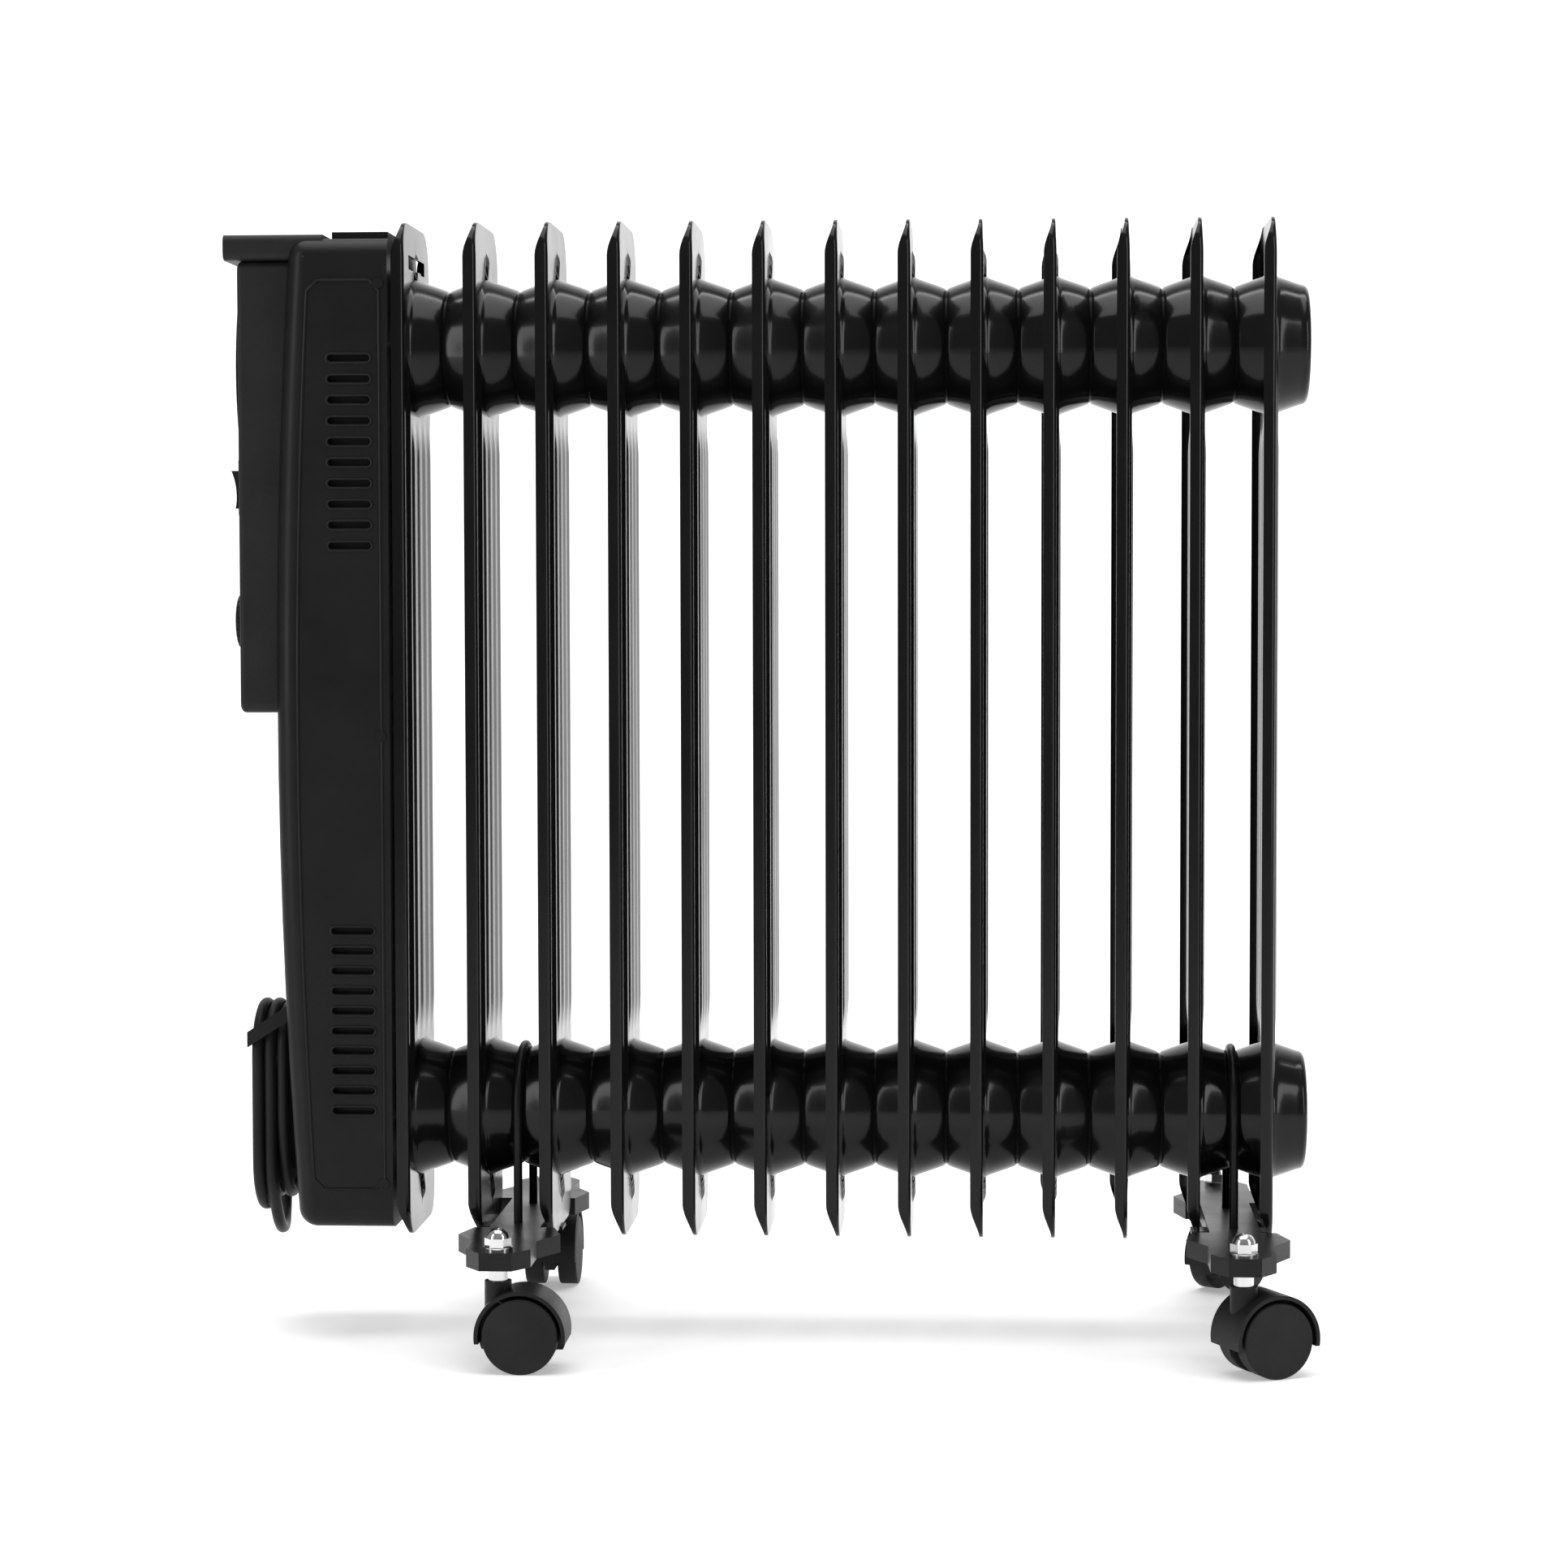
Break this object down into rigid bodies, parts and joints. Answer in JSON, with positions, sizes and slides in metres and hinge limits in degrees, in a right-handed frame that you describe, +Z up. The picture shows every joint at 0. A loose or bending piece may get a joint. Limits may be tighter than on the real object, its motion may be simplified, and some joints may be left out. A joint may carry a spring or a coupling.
{
  "type": "oil filled radiator heater",
  "caption": "Black oil filled radiator heater with upright steel fins, a left control box with knob and rockers, a wound cord and twin-wheel casters.",
  "frame": {"origin": "on the floor, midway between the two feet and between the fins' front and back edges", "axes": "+X from the control box to the far end of the core, -Y the front, +Z up"},
  "size_m": [0.6195, 0.3105, 0.64],
  "materials": {
    "fin_paint": "gloss",
    "box_paint": "satin",
    "foot_paint": "satin",
    "inner_steel": "satin",
    "element_sheath": "satin",
    "panel_plastic": "matte",
    "fascia_gloss": "gloss",
    "switch_plastic": "satin",
    "rocker_plastic": "satin",
    "knob_plastic": "satin",
    "lamp_lens": "gloss",
    "bright_steel": "polished",
    "inner_plastic": "matte",
    "wire_insulation": "satin",
    "caster_nylon": "matte",
    "wheel_nylon": "matte",
    "cord_jacket": "matte",
    "cleat_plastic": "matte",
    "brass_pins": "satin"
  },
  "bodies": {
    "heater": {"box_casing": "box_paint", "box_studs": "inner_steel", "casing_screws": "box_paint", "caster_stems": "bright_steel", "control_panel": "panel_plastic", "cord": "cord_jacket", "cord_bush": "cord_jacket", "cord_cleat": "cleat_plastic", "cord_hank": "cord_jacket", "cord_strap": "cord_jacket", "dome_nuts": "bright_steel", "element_flange": "inner_steel", "feet": "foot_paint", "fin_01": "fin_paint", "fin_02": "fin_paint", "fin_03": "fin_paint", "fin_04": "fin_paint", "fin_05": "fin_paint", "fin_06": "fin_paint", "fin_07": "fin_paint", "fin_08": "fin_paint", "fin_09": "fin_paint", "fin_10": "fin_paint", "fin_11": "fin_paint", "fin_12": "fin_paint", "fin_13": "fin_paint", "grip_cover": "box_paint", "heat_shield": "box_paint", "heating_element": "element_sheath", "lower_header": "fin_paint", "panel_cap": "panel_plastic", "panel_fascia": "fascia_gloss", "pilot_lamp": "lamp_lens", "plug": "cord_jacket", "plug_pins": "brass_pins", "switch_housings": "switch_plastic", "terminal_block": "inner_plastic", "thermal_cutout": "inner_plastic", "thermostat": "inner_plastic", "tilt_switch": "inner_plastic", "u_bolts": "foot_paint", "upper_header": "fin_paint", "wing_nuts": "foot_paint", "wiring": "wire_insulation"},
    "knob": {"thermostat_knob": "knob_plastic", "thermostat_shaft": "bright_steel"},
    "rocker_low": {"rocker_low": "rocker_plastic"},
    "rocker_high": {"rocker_high": "rocker_plastic"},
    "front_left_swivel": {"front_left_hood": "caster_nylon"},
    "front_left_wheelset": {"front_left_wheels": "wheel_nylon", "front_left_axle": "bright_steel"},
    "front_right_swivel": {"front_right_hood": "caster_nylon"},
    "front_right_wheelset": {"front_right_wheels": "wheel_nylon", "front_right_axle": "bright_steel"},
    "back_left_swivel": {"back_left_hood": "caster_nylon"},
    "back_left_wheelset": {"back_left_wheels": "wheel_nylon", "back_left_axle": "bright_steel"},
    "back_right_swivel": {"back_right_hood": "caster_nylon"},
    "back_right_wheelset": {"back_right_wheels": "wheel_nylon", "back_right_axle": "bright_steel"}
  },
  "joints": [
    {"name": "thermostat_turn", "type": "hinge", "parent": "heater", "child": "knob", "pos_m": [-0.36185, 0, 0.413], "axis": [-1, 0, 0], "range_deg": [0, 270]},
    {"name": "rocker_low_tilt", "type": "hinge", "parent": "heater", "child": "rocker_low", "pos_m": [-0.35885, -0.013, 0.49], "axis": [0, 1, 0], "range_deg": [0, 12]},
    {"name": "rocker_high_tilt", "type": "hinge", "parent": "heater", "child": "rocker_high", "pos_m": [-0.35885, 0.013, 0.49], "axis": [0, 1, 0], "range_deg": [0, 12]},
    {"name": "front_left_swivel_turn", "type": "hinge", "parent": "heater", "child": "front_left_swivel", "pos_m": [-0.205, -0.125, 0.045], "axis": [0, 0, 1], "continuous": true},
    {"name": "front_left_wheel_roll", "type": "hinge", "parent": "front_left_swivel", "child": "front_left_wheelset", "pos_m": [-0.1915, -0.125, 0.021], "axis": [0, 1, 0], "continuous": true},
    {"name": "front_right_swivel_turn", "type": "hinge", "parent": "heater", "child": "front_right_swivel", "pos_m": [0.205, -0.125, 0.045], "axis": [0, 0, 1], "continuous": true},
    {"name": "front_right_wheel_roll", "type": "hinge", "parent": "front_right_swivel", "child": "front_right_wheelset", "pos_m": [0.21724, -0.11929, 0.021], "axis": [-0.4226, 0.9063, 0], "continuous": true},
    {"name": "back_left_swivel_turn", "type": "hinge", "parent": "heater", "child": "back_left_swivel", "pos_m": [-0.205, 0.125, 0.045], "axis": [0, 0, 1], "continuous": true},
    {"name": "back_left_wheel_roll", "type": "hinge", "parent": "back_left_swivel", "child": "back_left_wheelset", "pos_m": [-0.205, 0.1385, 0.021], "axis": [-1, 0, 0], "continuous": true},
    {"name": "back_right_swivel_turn", "type": "hinge", "parent": "heater", "child": "back_right_swivel", "pos_m": [0.205, 0.125, 0.045], "axis": [0, 0, 1], "continuous": true},
    {"name": "back_right_wheel_roll", "type": "hinge", "parent": "back_right_swivel", "child": "back_right_wheelset", "pos_m": [0.21274, 0.13606, 0.021], "axis": [-0.8192, 0.5736, 0], "continuous": true}
  ]
}
